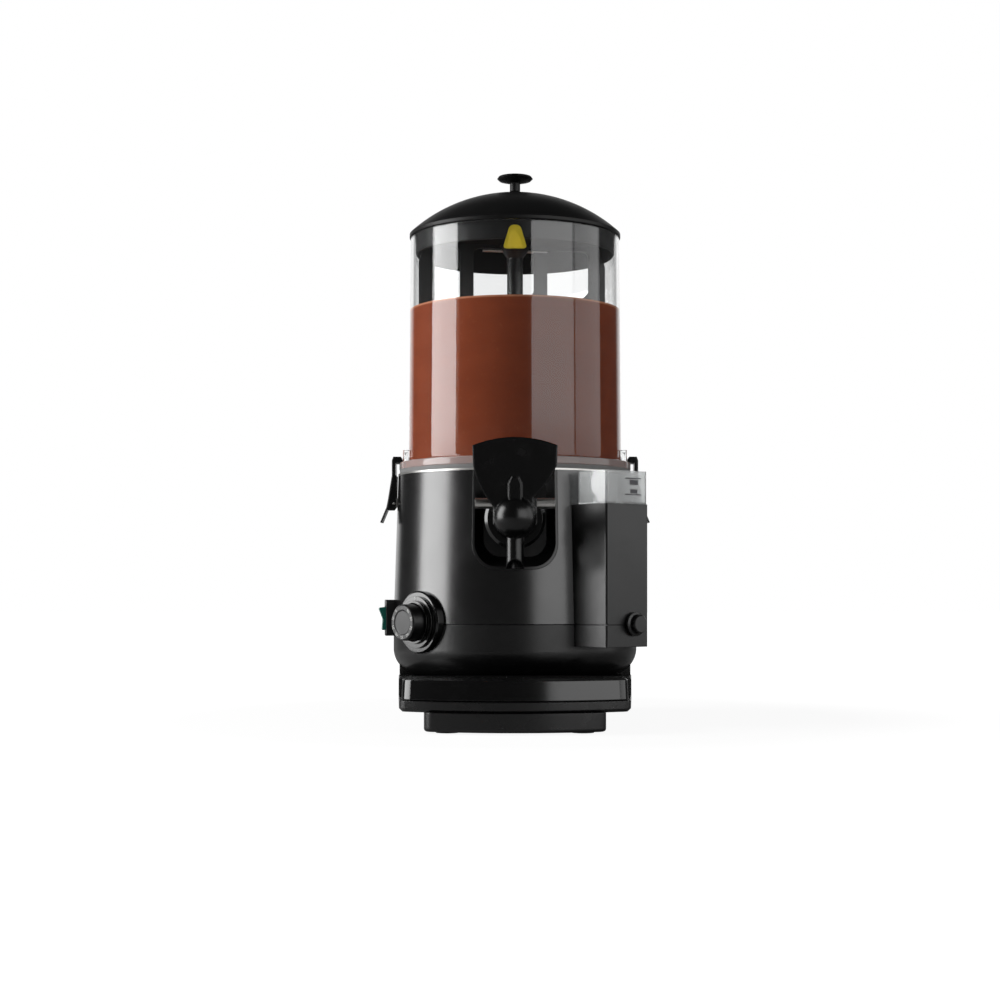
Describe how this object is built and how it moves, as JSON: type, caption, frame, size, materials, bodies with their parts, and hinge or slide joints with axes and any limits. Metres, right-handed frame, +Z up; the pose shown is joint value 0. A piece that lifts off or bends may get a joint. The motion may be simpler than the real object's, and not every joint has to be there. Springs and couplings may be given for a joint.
{
  "type": "hot chocolate dispenser",
  "caption": "Countertop hot chocolate dispenser with a clear stirred bowl over a heated pot, pull tap, thermostat dial, water filler box, bowl latches and drip tray.",
  "frame": {"origin": "on the drum's vertical axis, at the level of the table", "axes": "+Z up along the drum's axis, -Y to the front where the tap is, +X to the right as seen from the front"},
  "size_m": [0.2885, 0.3878, 0.5798],
  "materials": {
    "black_metal": "satin black paint",
    "black_plastic": "satin black moulding",
    "black_gloss": "smooth black moulding",
    "grid_plastic": "satin black moulding",
    "clear_plastic": "clear moulding",
    "grey_rubber": "soft grey seal",
    "black_rubber": "matt black rubber",
    "steel": "bare stainless steel",
    "heater_sheath": "dark annealed sheath",
    "bronze": "plain bearing bronze",
    "component_plastic": "cream moulding",
    "gear_nylon": "natural nylon",
    "gear_casing": "cast housing",
    "green_rocker": "translucent green",
    "hot_chocolate": "liquid surface"
  },
  "bodies": {
    "root": {"outer_shell": "black_metal", "lower_casing": "black_plastic", "tap_niche": "black_plastic", "clear_bowl": "clear_plastic", "bowl_gasket": "grey_rubber", "pot": "steel", "water_jacket": "steel", "heating_element": "heater_sheath", "thermal_cutout": "component_plastic", "shaft_bush": "bronze", "gearbox_case": "gear_casing", "gearbox_lid": "gear_casing", "gearbox_bush": "bronze", "gearbox_posts": "steel", "motor_case": "steel", "tap_body": "black_gloss", "tap_collar": "black_plastic", "tap_seal": "black_rubber", "tap_spring": "steel", "dial_bezel": "black_plastic", "thermostat": "component_plastic", "switch_frame": "black_plastic", "switch_body": "component_plastic", "filler_box": "black_plastic", "filler_cup": "clear_plastic", "filler_pipe": "steel", "latch_bracket_right": "steel", "latch_pin_right": "steel", "latch_bracket_left": "steel", "latch_pin_left": "steel", "base_housing": "black_plastic", "base_cover": "black_plastic", "plinth": "black_plastic", "feet": "black_rubber", "base_screws": "steel", "cable_gland": "black_rubber", "terminal_block": "component_plastic"},
    "lid": {"lid": "black_gloss", "lid_skirt": "black_gloss", "lid_knob": "black_gloss", "lid_knob_screw": "steel"},
    "stirrer": {"stirrer": "black_plastic", "stirrer_cross_pin": "steel", "drive_shaft": "steel", "output_gear": "gear_nylon", "drink": "hot_chocolate"},
    "rotor": {"motor_rotor": "steel", "motor_pinion": "steel"},
    "tap_lever": {"tap_lever": "black_gloss", "tap_pin": "steel"},
    "tap_piston": {"tap_piston": "steel"},
    "dial": {"dial_knob": "black_plastic", "dial_spindle": "steel"},
    "rocker": {"switch_rocker": "green_rocker"},
    "drip_tray": {"drip_tray": "black_plastic"},
    "drip_grid": {"drip_grid": "grid_plastic"},
    "drain": {"drain_knob": "black_plastic"},
    "latch_right": {"latch_right": "black_gloss"},
    "latch_left": {"latch_left": "black_gloss"}
  },
  "joints": [
    {"name": "lid_lift", "type": "slide", "parent": "root", "child": "lid", "axis": [0, 0, 1], "range_m": [0, 0.12]},
    {"name": "stirrer_spin", "type": "hinge", "parent": "root", "child": "stirrer", "pos_m": [0, 0, 0.3], "axis": [0, 0, 1], "continuous": true},
    {"name": "motor_spin", "type": "hinge", "parent": "root", "child": "rotor", "pos_m": [0, 0.043, 0.1], "axis": [0, 0, 1], "continuous": true},
    {"name": "tap_pull", "type": "hinge", "parent": "root", "child": "tap_lever", "pos_m": [0, -0.15, 0.2225], "axis": [1, 0, 0], "range_deg": [0, 18], "stiffness_Nm_per_rad": 1.5, "springref_deg": -6.88},
    {"name": "piston_slide", "type": "slide", "parent": "root", "child": "tap_piston", "axis": [0, 1, 0], "range_m": [0, 0.006], "deforming": ["tap_spring"]},
    {"name": "dial_turn", "type": "hinge", "parent": "root", "child": "dial", "pos_m": [-0.09631, -0.08672, 0.104], "axis": [-0.7431, -0.6691, 0], "range_deg": [0, 270]},
    {"name": "switch_rock", "type": "hinge", "parent": "root", "child": "rocker", "pos_m": [-0.13329, -0.01873, 0.1077], "axis": [-0.1392, 0.9903, 0], "range_deg": [0, 16]},
    {"name": "tray_slide", "type": "slide", "parent": "root", "child": "drip_tray", "axis": [0, -1, 0], "range_m": [0, 0.125]},
    {"name": "grid_lift", "type": "slide", "parent": "drip_tray", "child": "drip_grid", "axis": [0, 0, 1], "range_m": [0, 0.025]},
    {"name": "drain_turn", "type": "hinge", "parent": "root", "child": "drain", "pos_m": [0.11862, -0.12892, 0.103], "axis": [0.6428, -0.766, 0], "range_deg": [0, 90]},
    {"name": "latch_right_open", "type": "hinge", "parent": "root", "child": "latch_right", "pos_m": [0.1288, 0, 0.229], "axis": [0, 1, 0], "range_deg": [0, 30], "stiffness_Nm_per_rad": 0.05, "springref_deg": -17.19},
    {"name": "latch_left_open", "type": "hinge", "parent": "root", "child": "latch_left", "pos_m": [-0.1288, 0, 0.229], "axis": [0, -1, 0], "range_deg": [0, 30], "stiffness_Nm_per_rad": 0.05, "springref_deg": -17.19}
  ],
  "couplings": [
    {"joint": "motor_spin", "follows": "stirrer_spin", "ratio": -5.1429},
    {"joint": "piston_slide", "follows": "tap_pull", "m_per_rad": 0.018}
  ]
}
